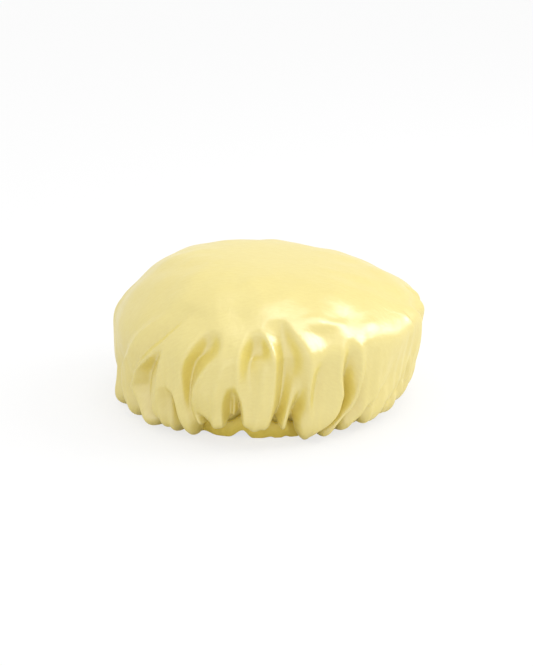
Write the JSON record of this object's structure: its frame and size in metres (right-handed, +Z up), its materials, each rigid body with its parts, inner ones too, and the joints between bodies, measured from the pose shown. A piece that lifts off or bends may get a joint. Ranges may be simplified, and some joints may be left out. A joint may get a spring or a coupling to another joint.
{
  "type": "hair bonnet",
  "caption": "Puffed satin hair bonnet: a gathered shell and lining held in an elastic band, open underneath for the head.",
  "frame": {"origin": "under the middle of the puff's outline, on the surface that the band stands on", "axes": "+Z up through the crown, -Y the front shown in the picture, +X the wearer's left when the front is worn forward"},
  "size_m": [0.2418, 0.238, 0.1168],
  "materials": {
    "satin": "satin",
    "lining_satin": "satin",
    "band_satin": "satin",
    "elastic": "matte",
    "thread": "satin"
  },
  "bodies": {
    "root": {"outer_shell": "satin", "lining": "lining_satin", "elastic_casing": "band_satin", "elastic_band": "elastic", "elastic_lap_stitch": "thread", "seam_needle_thread": "thread", "seam_bobbin_thread": "thread", "casing_closing_stitch": "thread"}
  },
  "joints": []
}
